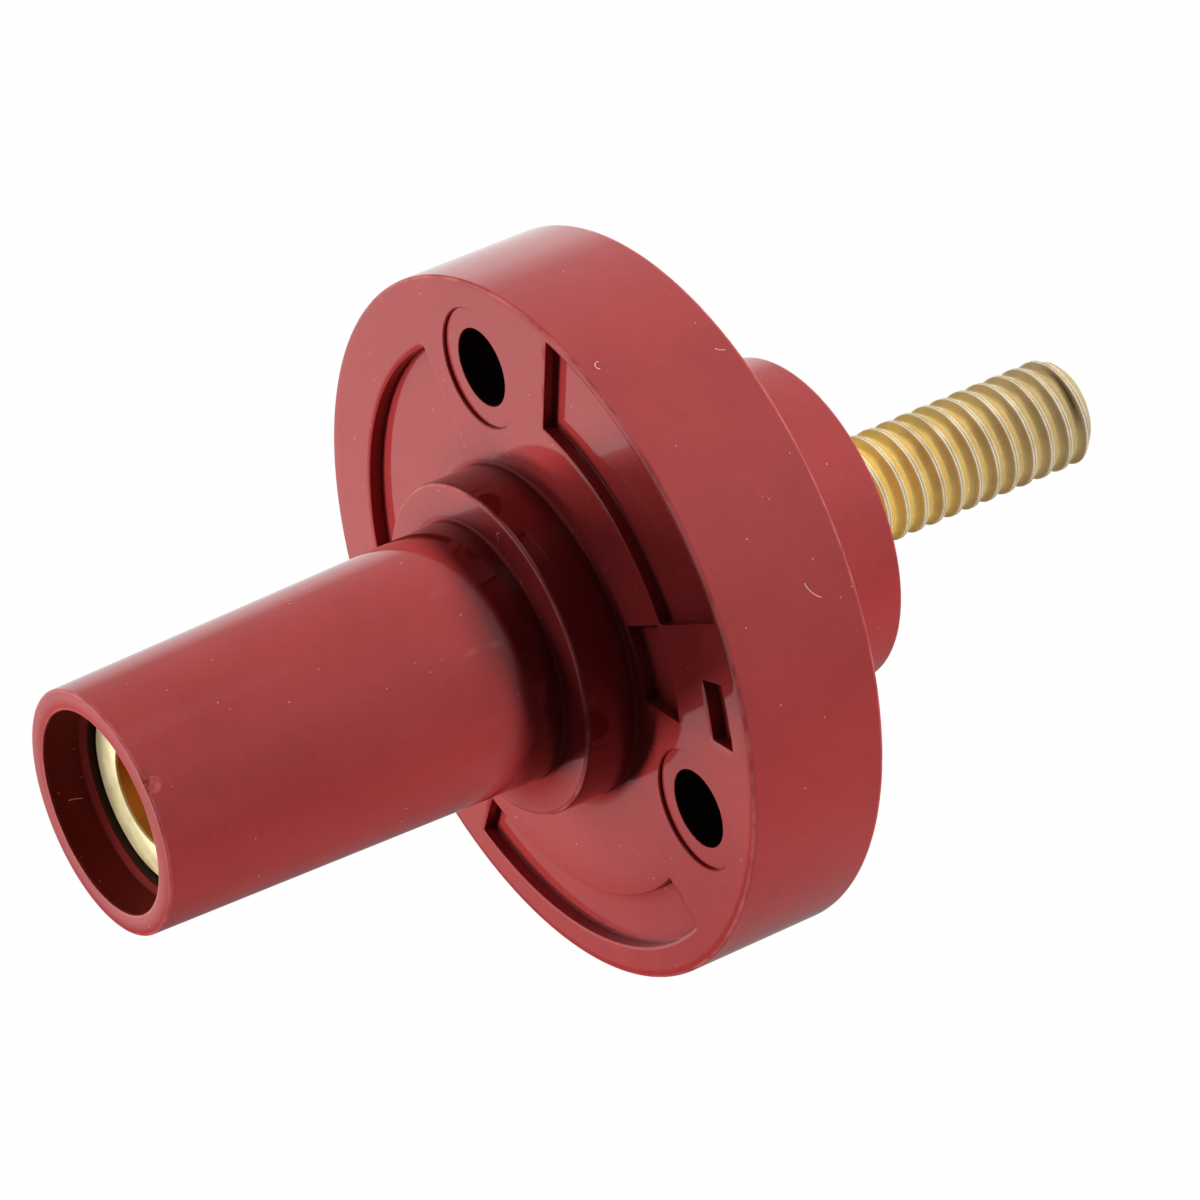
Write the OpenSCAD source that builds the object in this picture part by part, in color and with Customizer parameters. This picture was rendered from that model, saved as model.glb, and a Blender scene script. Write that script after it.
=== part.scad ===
// Single pole cam receptacle for a panel: female contact, three-hole flange, threaded stud at the back.
// Each piece is drawn upright on the panel plane, nose up, then laid so that the nose points to -Y.

/* [Flange] */
// Diameter of the flange
flange_d = 50.8; // [48:0.1:56]
// Thickness of the flange, panel face to front face
flange_t = 10.5; // [8:0.1:14]
// Rounding of the housing's outside edges
edge_r = 0.3; // [0.1:0.05:0.5]

/* [Mounting holes] */
// Diameter of the circle the holes lie on
hole_circle_d = 38.1; // [37:0.1:39]
// Diameter of each hole, for a number 10 screw
hole_d = 5.5; // [4.5:0.1:6]
// Diameter of the spot face round each hole
spot_d = 8.6; // [7:0.1:9]
// Depth of the spot face
spot_depth = 0.25; // [0.1:0.05:0.6]

/* [Nose and collar] */
// Diameter of the collar at the foot of the nose
collar_d = 24; // [23:0.1:24.6]
// Height of the collar above the flange's front face
collar_h = 4; // [3:0.1:6]
// Height of the nose's rim above the flange's front face
nose_h = 34.6; // [30:0.1:40]
// Diameter of the nose where it leaves the collar
nose_base_d = 18.7; // [18.4:0.1:21]
// Diameter of the nose at its rim
nose_tip_d = 17.4; // [17.2:0.1:18.4]
// Radius of the fillet at the foot of the nose and of the collar
foot_fillet = 0.4; // [0.2:0.05:0.6]
// Diameter of the mouth in the nose's rim
mouth_d = 14.4; // [14.2:0.1:14.8]
// Depth from the rim to the lip that stops the contact
mouth_depth = 2.8; // [2:0.1:5]
// Length of the lead-in on the lip's front edge
lip_lead = 0.4; // [0.2:0.05:0.5]

/* [Rear boss] */
// Diameter of the boss behind the panel
boss_d = 23.8; // [22:0.1:26]
// Length of the boss behind the panel face
boss_len = 11.6; // [9:0.1:16]

/* [Sunk panels on the flange face] */
// Depth of the sunk panels
panel_depth = 0.9; // [0.3:0.05:1.5]
// Width of the strip left between the ratings panel and the rim
rim_strip = 0.65; // [0.5:0.05:1]
// Radius of the inner edge of the ratings panel
ratings_inner_r = 17.5; // [17.4:0.1:18.5]

/* [Contact] */
// Diameter of the contact's body
contact_d = 14.4; // [14:0.05:14.4]
// Radial room between the contact and the housing
contact_room = 0.05; // [0.03:0.01:0.1]
// Depth of the contact's front face behind the lip's front edge
face_depth = 0.8; // [0.6:0.05:1]
// Chamfer round the contact's front face, which seats on the back of the lip
face_chamfer = 0.8; // [0.5:0.05:1]
// Diameter of the socket that takes the mating pin
socket_d = 7.94; // [7.5:0.01:8.2]
// Depth of the socket, to the shoulder of its drill point
socket_depth = 25; // [20:0.5:30]
// Length of the guide land at the socket's mouth
guide_len = 6; // [5:0.1:8]
// Length of the relief behind the guide land
relief_len = 5; // [4:0.1:7]
// How far the contact's shoulder stands out of the boss, for the cable lug
shoulder_proud = 0.8; // [0.2:0.1:1.5]

/* [Stud] */
// Major diameter of the stud's thread
stud_d = 7.94; // [6.35:0.01:9.6]
// Length of the stud past the boss
stud_len = 22.8; // [15:0.1:32]
// Chamfer at the stud's tip
stud_chamfer = 0.7; // [0.3:0.05:1.2]

/* [Cam pin] */
// Diameter of the cross pin
cam_pin_d = 2.4; // [2:0.1:2.8]
// Distance of the cross pin from the socket's axis
cam_pin_offset = 3.5; // [3.2:0.1:3.8]
// Length of the cross pin
cam_pin_len = 10.4; // [9:0.1:10.6]

/* [Retaining ring] */
// Diameter of the ring's round wire
wire_d = 1.2; // [1:0.1:1.4]
// Distance of the ring from the boss's rear face
ring_depth = 5; // [4:0.1:7]
// Angle left open between the ring's ends
ring_gap = 24; // [15:1:40]

/* [Hidden] */
$fn = 96;
hole_count = 3;
// Overshoot of a cut past the face that it opens
past = 1;
// Heights over the panel plane
collar_z = flange_t + collar_h;
rim_z = flange_t + nose_h;
lip_z = rim_z - mouth_depth;
face_z = lip_z - face_depth;
shoulder_z = -boss_len - shoulder_proud;
tip_z = -boss_len - stud_len;
ring_z = -boss_len + ring_depth;
cam_pin_z = face_z - guide_len - relief_len / 2;
// Radii
flange_r = flange_d / 2;
collar_r = collar_d / 2;
boss_r = boss_d / 2;
contact_r = contact_d / 2;
stud_r = stud_d / 2;
socket_r = socket_d / 2;
relief_r = socket_r + 0.5;
chamber_r = contact_r + contact_room;
lip_r = contact_r - 0.25;
drill_angle = 118;
drill_point_h = socket_r / tan(drill_angle / 2);
// The ring's wire lies half in the contact and springs out against its groove in the housing
ring_r = contact_r + contact_room / 2;
ring_room = 0.05;
ring_groove_w = wire_d + 2 * ring_room;
pin_chamfer = 0.3;
// Sunk panels, each [inner radius, outer radius, first angle, last angle], angles from +X towards the top
sunk_panels = [
    [ratings_inner_r, flange_r - rim_strip, 13, 66.5],
    [13, ratings_inner_r - 0.4, -10.5, 13],
    [21.1, 23.35, -9.5, 2],
    [12.9, 20.6, 110, 190],
    [19.35, 23.1, 232.5, 305]
];

// Points of an arc round a centre, from one angle to another
function arc(centre, r, from, to, steps = 6) =
    [for (i = [0:steps]) let (a = from + (to - from) * i / steps) centre + r * [cos(a), sin(a)]];

// Lays an upright piece down with its nose towards -Y, its first hole staying at the top
module lay_down() {
    rotate([90, 0, 0]) children();
}

// Ring sector cut down into the flange face
module sunk_panel(inner_r, outer_r, from, to) {
    rotate([0, 0, from])
        translate([0, 0, flange_t - panel_depth])
            rotate_extrude(angle = to - from)
                translate([inner_r, 0])
                    square([outer_r - inner_r, panel_depth + past]);
}

// Outside of the housing: boss, flange, collar and tapered nose in one turn
module housing_outside() {
    rotate_extrude()
        polygon(concat(
            [[0, -boss_len]],
            arc([boss_r - edge_r, -boss_len + edge_r], edge_r, -90, 0),
            [[boss_r, 0], [flange_r, 0]],
            arc([flange_r - edge_r, flange_t - edge_r], edge_r, 0, 90),
            arc([collar_r + foot_fillet, flange_t + foot_fillet], foot_fillet, 270, 180),
            arc([collar_r - edge_r, collar_z - edge_r], edge_r, 0, 90),
            arc([nose_base_d / 2 + foot_fillet, collar_z + foot_fillet], foot_fillet, 270, 180),
            arc([nose_tip_d / 2 - edge_r, rim_z - edge_r], edge_r, 0, 90),
            [[0, rim_z]]
        ));
}

// Chamber that the contact slides into from behind, up to the lip, with the mouth in front of it
module housing_chamber() {
    seat_z = face_z - face_chamfer - contact_room;
    translate([0, 0, -boss_len - past])
        cylinder(r = chamber_r, h = boss_len + past + seat_z);
    translate([0, 0, seat_z])
        cylinder(r1 = chamber_r, r2 = lip_r, h = chamber_r - lip_r);
    cylinder(r = lip_r, h = lip_z);
    translate([0, 0, lip_z - lip_lead])
        cylinder(r1 = lip_r, r2 = mouth_d / 2, h = lip_lead);
    translate([0, 0, lip_z])
        cylinder(d = mouth_d, h = mouth_depth + past);
    translate([0, 0, ring_z - ring_groove_w / 2])
        cylinder(r = ring_r + wire_d / 2, h = ring_groove_w);
}

// Screw holes with their spot faces, the first at the top
module screw_holes() {
    for (i = [0:hole_count - 1])
        rotate([0, 0, 90 + i * 360 / hole_count])
            translate([hole_circle_d / 2, 0, 0]) {
                translate([0, 0, -past]) cylinder(d = hole_d, h = flange_t + 2 * past);
                translate([0, 0, flange_t - spot_depth]) cylinder(d = spot_d, h = spot_depth + past);
            }
}

module housing() {
    color("#a8494d")
        lay_down()
            difference() {
                housing_outside();
                housing_chamber();
                screw_holes();
                for (p = sunk_panels) sunk_panel(p[0], p[1], p[2], p[3]);
            }
}

// Outside of the contact: stud, shoulder, body with the ring's groove, and chamfered front face
module contact_outside() {
    groove_r = ring_r - wire_d / 2 - ring_room;
    rotate_extrude()
        polygon([
            [0, tip_z],
            [stud_r - stud_chamfer, tip_z],
            [stud_r, tip_z + stud_chamfer],
            [stud_r, shoulder_z],
            [contact_r, shoulder_z],
            [contact_r, ring_z - ring_groove_w / 2],
            [groove_r, ring_z - ring_groove_w / 2],
            [groove_r, ring_z + ring_groove_w / 2],
            [contact_r, ring_z + ring_groove_w / 2],
            [contact_r, face_z - face_chamfer],
            [contact_r - face_chamfer, face_z],
            [0, face_z]
        ]);
}

// Socket: guide land, relief round the cross pin, contact land and drill point
module socket() {
    bottom_z = face_z - socket_depth;
    translate([0, 0, bottom_z]) cylinder(r = socket_r, h = socket_depth + past);
    translate([0, 0, bottom_z - drill_point_h]) cylinder(r1 = 0, r2 = socket_r, h = drill_point_h);
    translate([0, 0, cam_pin_z - relief_len / 2]) cylinder(r = relief_r, h = relief_len);
}

// Puts a piece on the line of the cross pin, beside the socket's axis
module on_pin_line() {
    translate([0, cam_pin_offset, cam_pin_z]) rotate([0, 90, 0]) children();
}

module contact() {
    color("#c9a95c")
        lay_down()
            difference() {
                contact_outside();
                socket();
                on_pin_line() cylinder(d = cam_pin_d, h = contact_d, center = true);
            }
}

module cam_pin() {
    pin_r = cam_pin_d / 2;
    half = cam_pin_len / 2;
    color("#9a9ea3")
        lay_down()
            on_pin_line()
                rotate_extrude()
                    polygon([
                        [0, -half],
                        [pin_r - pin_chamfer, -half],
                        [pin_r, -half + pin_chamfer],
                        [pin_r, half - pin_chamfer],
                        [pin_r - pin_chamfer, half],
                        [0, half]
                    ]);
}

module retaining_ring() {
    color("#6f7378")
        lay_down()
            translate([0, 0, ring_z])
                rotate([0, 0, 90 + ring_gap / 2])
                    rotate_extrude(angle = 360 - ring_gap)
                        translate([ring_r, 0])
                            circle(d = wire_d);
}

housing();
contact();
cam_pin();
retaining_ring();
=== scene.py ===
"""Looks of a single pole cam receptacle: a moulded red housing, a turned brass contact and steel pieces."""

import logging
import math
from dataclasses import dataclass, field
from enum import Enum
from functools import reduce
from typing import Any, Callable, Iterable

import bmesh
import bpy
from mathutils import Matrix, Vector


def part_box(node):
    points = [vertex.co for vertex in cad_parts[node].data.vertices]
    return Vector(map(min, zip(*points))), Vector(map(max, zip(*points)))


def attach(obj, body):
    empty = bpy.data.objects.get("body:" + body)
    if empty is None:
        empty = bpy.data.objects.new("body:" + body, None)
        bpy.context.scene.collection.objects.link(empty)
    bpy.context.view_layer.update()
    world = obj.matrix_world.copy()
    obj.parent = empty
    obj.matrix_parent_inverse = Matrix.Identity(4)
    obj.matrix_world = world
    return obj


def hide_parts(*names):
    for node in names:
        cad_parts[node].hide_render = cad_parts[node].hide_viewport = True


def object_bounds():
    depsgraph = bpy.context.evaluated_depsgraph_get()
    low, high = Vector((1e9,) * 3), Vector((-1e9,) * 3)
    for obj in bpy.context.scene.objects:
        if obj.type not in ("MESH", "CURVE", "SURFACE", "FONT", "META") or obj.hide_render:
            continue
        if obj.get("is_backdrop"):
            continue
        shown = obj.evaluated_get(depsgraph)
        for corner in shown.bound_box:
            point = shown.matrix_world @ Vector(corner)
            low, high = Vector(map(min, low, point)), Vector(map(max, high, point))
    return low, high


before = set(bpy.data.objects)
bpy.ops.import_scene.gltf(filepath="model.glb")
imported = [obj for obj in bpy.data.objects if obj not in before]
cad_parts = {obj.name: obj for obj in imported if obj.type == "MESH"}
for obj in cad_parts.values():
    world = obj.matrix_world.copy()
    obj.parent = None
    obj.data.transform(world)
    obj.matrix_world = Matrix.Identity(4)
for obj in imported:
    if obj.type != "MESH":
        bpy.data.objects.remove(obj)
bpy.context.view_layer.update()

BODY = "root"
MM = 0.001
# Points closer than this are one point
MERGE = 0.001 * MM
# Widest angle between two mesh lines of a turned piece, in degrees
TURN_STEP = 1.25
FINE_ARC_STEPS = 4
# Edges are shaded smooth up to the first angle, and past the second they are the edge of a wall
SMOOTH_ANGLE = math.radians(32)
WALL_ANGLE = math.radians(45)
ORIGIN = (0, 0, 0)
WHITE = (1, 1, 1, 1)
# Scale at which a wave pattern repeats once in each unit of length
WAVE_SCALE = math.pi / 10
# Source numbers of the Mix node, which has a set of its own for colours and for single values
COLOUR_A, COLOUR_B = 6, 7
VALUE_A, VALUE_B = 2, 3

log = logging.getLogger("receptacle")

# Radius and place along the axis of a turned piece, in millimetres
Point = tuple[float, float]
# First and last value of a range
Span = tuple[float, float]
# Place in the part's frame, in millimetres
Spot = tuple[float, float, float]
# Direction in the part's frame
Direction = tuple[float, float, float]
Tree = bpy.types.NodeTree
# What a link starts from: an output, or a node, which then stands for its first output in use
Source = bpy.types.Node | bpy.types.NodeSocket
Piece = bpy.types.Object


class Slot(Enum):
    """Material slots of the record."""

    INSULATOR = "insulator"
    BRASS = "brass"


class Cut(Enum):
    """Ways in which one mesh works on another."""

    AWAY = "DIFFERENCE"
    TO_COMMON = "INTERSECT"
    TOGETHER = "UNION"


class MeshPart(Enum):
    """Parts of a mesh that are selected."""

    FACE = "FACE"
    EDGE = "EDGE"


class Axis(Enum):
    """Axes that a mesh is turned round."""

    Y = "Y"
    Z = "Z"


class Join(Enum):
    """Ways in which several values become one."""

    LEAST = "MINIMUM"
    MOST = "MAXIMUM"
    SUM = "ADD"


class Ray(Enum):
    """Rays that meet the white surroundings."""

    CAMERA = "Is Camera Ray"
    GLOSSY = "Is Glossy Ray"
    TRANSMISSION = "Is Transmission Ray"


def linear(hex_colour: str) -> tuple[float, float, float, float]:
    """Turns a colour as it is seen into the one that the light is reckoned with.

    Args:
        hex_colour: sRGB colour such as "#a63a3a".

    Returns:
        Linear red, green, blue and an alpha of 1.
    """
    channels = [int(hex_colour[i:i + 2], 16) / 255 for i in (1, 3, 5)]
    straight = [c / 12.92 if c <= 0.04045 else ((c + 0.055) / 1.055) ** 2.4 for c in channels]
    return (*straight, 1.0)


def add_node(
    tree: Tree, kind: str, settings: dict[Any, Any] | None = None, links: dict[Any, Source] | None = None,
) -> bpy.types.Node:
    """Adds a node with its settings and its links.

    Args:
        tree: Tree that the node goes into.
        kind: Node type without its ShaderNode prefix.
        settings: Properties by attribute name, and input values by socket name or number.
        links: What feeds each linked input, by the input's name or number.

    Returns:
        The node.
    """
    node = tree.nodes.new("ShaderNode" + kind)
    settings = settings or {}
    properties = [key for key in settings if isinstance(key, str) and hasattr(node, key)]
    for key in properties:
        setattr(node, key, settings[key])
    for key, value in settings.items():
        if key not in properties:
            node.inputs[key].default_value = value
    for key, source in (links or {}).items():
        if isinstance(source, bpy.types.Node):
            source = next(output for output in source.outputs if output.enabled)
        tree.links.new(source, node.inputs[key])
    return node


def per_mm(size_mm: float) -> float:
    """Texture scale at which one cell of a pattern is as wide as size_mm."""
    return 1 / (size_mm * MM)


def in_metres(sizes: Iterable[float]) -> list[float]:
    """Sizes, or the numbers of a place, in metres."""
    return [size * MM for size in sizes]


def arc(centre: Point, radius: float, first: float, last: float, steps: int = 6) -> list[Point]:
    """Points of an arc on an outline.

    Args:
        centre: Middle of the arc.
        radius: Its radius in millimetres.
        first: Angle of its first point in degrees, from outwards towards the rear.
        last: Angle of its last point.
        steps: Number of straight stretches.

    Returns:
        The points in order.
    """
    angles = [math.radians(first + (last - first) * i / steps) for i in range(steps + 1)]
    return [(centre[0] + radius * math.cos(a), centre[1] + radius * math.sin(a)) for a in angles]


def on_axis(point: Point) -> Vector:
    """Place of an outline's point in metres, in the half plane of +X."""
    return Vector((point[0], point[1], 0)) * MM


def select_only(piece: Piece) -> None:
    """Makes an object the only one selected, and the active one."""
    bpy.ops.object.select_all(action="DESELECT")
    piece.select_set(True)
    bpy.context.view_layer.objects.active = piece


def select_parts(piece: Piece, kind: MeshPart, wanted: Callable[[Any], bool]) -> None:
    """Selects the faces or edges of a mesh in edit mode that pass a test of their place or normal.

    Args:
        piece: Object in edit mode.
        kind: What is selected.
        wanted: Test that a face or an edge has to pass.
    """
    bpy.ops.mesh.select_mode(type=kind.value)
    bpy.ops.mesh.select_all(action="DESELECT")
    mesh = bmesh.from_edit_mesh(piece.data)
    mesh.normal_update()
    for part in mesh.faces if kind is MeshPart.FACE else mesh.edges:
        if wanted(part):
            part.select_set(True)
    bmesh.update_edit_mesh(piece.data)


def draw_outline(name: str, outline: list[Point]) -> Piece:
    """Draws an outline as a chain of edges and stays in edit mode, with all of it selected.

    Args:
        name: Name of the new object.
        outline: Points of the chain.

    Returns:
        The new object, in edit mode.
    """
    bpy.ops.object.select_all(action="DESELECT")
    bpy.ops.mesh.primitive_plane_add(size=MM, location=ORIGIN)
    piece = bpy.context.active_object
    piece.name = name
    piece.data.name = name
    bpy.ops.object.mode_set(mode="EDIT")
    bpy.ops.mesh.select_mode(type="VERT")
    bpy.ops.mesh.select_all(action="SELECT")
    bpy.ops.mesh.merge(type="CENTER")
    bpy.ops.transform.translate(value=on_axis(outline[0]))
    for before, after in zip(outline, outline[1:]):
        bpy.ops.mesh.extrude_region_move(TRANSFORM_OT_translate={"value": on_axis(after) - on_axis(before)})
    bpy.ops.mesh.select_all(action="SELECT")
    bpy.ops.mesh.remove_doubles(threshold=MERGE)
    bpy.ops.mesh.select_all(action="SELECT")
    return piece


def close_up() -> None:
    """Merges the doubles of the mesh in edit mode, points its faces outwards and leaves edit mode."""
    bpy.ops.mesh.select_all(action="SELECT")
    bpy.ops.mesh.remove_doubles(threshold=MERGE)
    bpy.ops.mesh.select_all(action="SELECT")
    bpy.ops.mesh.normals_make_consistent(inside=False)
    bpy.ops.object.mode_set(mode="OBJECT")


def turned(name: str, outline: list[Point], stops: Iterable[float] = (), step: float = TURN_STEP) -> Piece:
    """Turns an outline round the Y axis into a closed piece.

    Args:
        name: Name of the new object.
        outline: A closed chain, or one that starts and ends on the axis.
        stops: Angles in degrees, from +X towards +Z, on which mesh lines fall.
        step: Widest angle between two mesh lines, in degrees.

    Returns:
        The new object.
    """
    piece = draw_outline(name, outline)
    angles = sorted({0.0, 360.0, *(stop % 360 for stop in stops)})
    for first, last in zip(angles, angles[1:]):
        steps = math.ceil((last - first) / step)
        bpy.ops.mesh.spin(steps=steps, angle=math.radians(last - first), center=ORIGIN, axis=(0, -1, 0))
    close_up()
    return piece


def place_mesh(piece: Piece, move: Vector, turn: float = 0.0, axis: Axis = Axis.Y) -> None:
    """Turns the whole mesh of a piece round the origin and moves it, while its object stays there.

    Args:
        piece: The piece.
        move: How far the mesh moves, in metres.
        turn: Angle that it is turned by first, in radians.
        axis: Axis that it is turned round.
    """
    select_only(piece)
    bpy.ops.object.mode_set(mode="EDIT")
    bpy.ops.mesh.select_all(action="SELECT")
    if turn:
        bpy.ops.transform.rotate(value=turn, orient_axis=axis.value, center_override=ORIGIN)
    bpy.ops.transform.translate(value=move)
    bpy.ops.object.mode_set(mode="OBJECT")


def apply_modifier(piece: Piece, kind: str, settings: dict[str, Any]) -> None:
    """Adds a modifier to a piece and applies it.

    Args:
        piece: Piece that is changed.
        kind: Modifier type.
        settings: Its properties by name.
    """
    select_only(piece)
    modifier = piece.modifiers.new(kind.title(), kind)
    for key, value in settings.items():
        setattr(modifier, key, value)
    bpy.ops.object.modifier_apply(modifier=modifier.name)


def cut(piece: Piece, tool: Piece, way: Cut) -> None:
    """Works on one mesh with another, which is then removed.

    Args:
        piece: Mesh that is kept.
        tool: Mesh that works on it.
        way: How it works on it.
    """
    apply_modifier(piece, "BOOLEAN", {"operation": way.value, "solver": "EXACT", "object": tool})
    bpy.data.objects.remove(tool)


def shade(piece: Piece) -> None:
    """Shades a piece smooth up to its sharp edges, with the large faces kept flat."""
    select_only(piece)
    bpy.ops.object.shade_smooth_by_angle(angle=SMOOTH_ANGLE)
    apply_modifier(piece, "WEIGHTED_NORMAL", {"keep_sharp": True, "weight": 100})


def dress(piece: Piece, material: bpy.types.Material) -> None:
    """Gives a piece one material all over."""
    piece.data.materials.clear()
    piece.data.materials.append(material)


def new_material(name: str) -> tuple[Tree, bpy.types.Material]:
    """Makes an empty node material.

    Args:
        name: Common name of the real material and how it was made.

    Returns:
        Its node tree and the material.
    """
    material = bpy.data.materials.new(name)
    material.use_nodes = True
    material.node_tree.nodes.clear()
    return material.node_tree, material


def joined(tree: Tree, way: Join, values: Iterable[Source]) -> Source:
    """Adds the nodes that make one value of a row of values.

    Args:
        tree: Tree that the nodes go into.
        way: How the values become one.
        values: The values.

    Returns:
        The one value.
    """
    def with_next(so_far: Source, value: Source) -> Source:
        """Takes one more value in."""
        return add_node(tree, "Math", {"operation": way.value}, {0: so_far, 1: value})

    return reduce(with_next, values)


def layered(tree: Tree, colour: Source, coats: Iterable[tuple[Source, str]]) -> Source:
    """Adds the nodes that lay coats over a colour, one on another.

    Args:
        tree: Tree that the nodes go into.
        colour: Colour at the bottom.
        coats: From the bottom up, how much of each place a coat covers, and its sRGB colour.

    Returns:
        The colour on top.
    """
    for share, coat in coats:
        colour = add_node(
            tree, "Mix", {"data_type": "RGBA", COLOUR_B: linear(coat)}, {"Factor": share, COLOUR_A: colour},
        )
    return colour


def axis_place(tree: Tree, place: Source) -> Source:
    """Adds nodes that turn a place into its radius and its place along the axis.

    Args:
        tree: Tree that the nodes go into.
        place: Place in metres.

    Returns:
        A vector of radius, place along Y and 0, in metres.
    """
    flat = add_node(tree, "VectorMath", {"operation": "MULTIPLY", 1: (1, 0, 1)}, {0: place})
    radius = add_node(tree, "VectorMath", {"operation": "LENGTH"}, {0: flat})
    along = add_node(tree, "SeparateXYZ", links={"Vector": place})
    return add_node(tree, "CombineXYZ", links={"X": radius, "Y": along.outputs["Y"]})


def gaps_to(tree: Tree, place: Source, spots: Iterable[Iterable[float]]) -> list[Source]:
    """Adds nodes that measure how far a place is from each of several spots.

    Args:
        tree: Tree that the nodes go into.
        place: Place in metres.
        spots: The spots in metres.

    Returns:
        A distance in metres for each spot.
    """
    return [
        add_node(tree, "VectorMath", {"operation": "DISTANCE", 1: tuple(spot)}, {0: place}) for spot in spots
    ]


def near_rings(tree: Tree, turned_place: Source, rings: Iterable[Point], width_mm: float) -> Source:
    """Adds nodes that tell how near a place is to one of several turned edges.

    Args:
        tree: Tree that the nodes go into.
        turned_place: Radius and place along the axis, from axis_place.
        rings: Radius and place along the axis of each edge, in millimetres.
        width_mm: Distance at which the value has fallen to 0.

    Returns:
        A value that is 1 on an edge and 0 away from all of them.
    """
    gaps = gaps_to(tree, turned_place, [in_metres((*ring, 0)) for ring in rings])
    return add_node(
        tree, "MapRange", {"From Max": width_mm * MM, "To Min": 1.0, "To Max": 0.0},
        {"Value": joined(tree, Join.LEAST, gaps)},
    )


def near_spot(tree: Tree, place: Source, spot: Spot, reach: Span) -> Source:
    """Adds nodes that tell how near a place is to a spot.

    Args:
        tree: Tree that the nodes go into.
        place: Place in metres.
        spot: The spot.
        reach: Distances up to which the value is 1 and from which on it is 0.

    Returns:
        A value that is 1 at the spot and 0 away from it.
    """
    full, end = in_metres(reach)
    return add_node(
        tree, "MapRange", {"From Min": full, "From Max": end, "To Min": 1.0, "To Max": 0.0},
        {"Value": gaps_to(tree, place, [in_metres(spot)])[0]},
    )


def seen_by(tree: Tree, *rays: Ray) -> Source:
    """Adds nodes that tell whether a ray is one of several kinds.

    Args:
        tree: Tree that the nodes go into.
        rays: The kinds of ray.

    Returns:
        A value that is 1 for such a ray and 0 for any other.
    """
    path = add_node(tree, "LightPath")
    return joined(tree, Join.MOST, [path.outputs[ray.value] for ray in rays])


@dataclass(frozen=True)
class Lint:
    """Curled fibre: the part of a circle that lies near a place, all in millimetres."""

    centre: Spot
    radius: float
    near: Spot
    reach: float
    width: float = 0.03

    def cover(self, tree: Tree, place: Source) -> Source:
        """Adds nodes that tell whether the fibre covers a place.

        Args:
            tree: Tree that the nodes go into.
            place: Place in metres.

        Returns:
            A value that is 1 on the fibre and 0 beside it.
        """
        to_centre, to_near = gaps_to(tree, place, [in_metres(self.centre), in_metres(self.near)])
        on_line = add_node(
            tree, "Math", {"operation": "COMPARE", 1: self.radius * MM, 2: self.width * MM}, {0: to_centre},
        )
        within = add_node(tree, "Math", {"operation": "LESS_THAN", 1: self.reach * MM}, {0: to_near})
        return add_node(tree, "Math", {"operation": "MULTIPLY"}, {0: on_line, 1: within})


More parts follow.
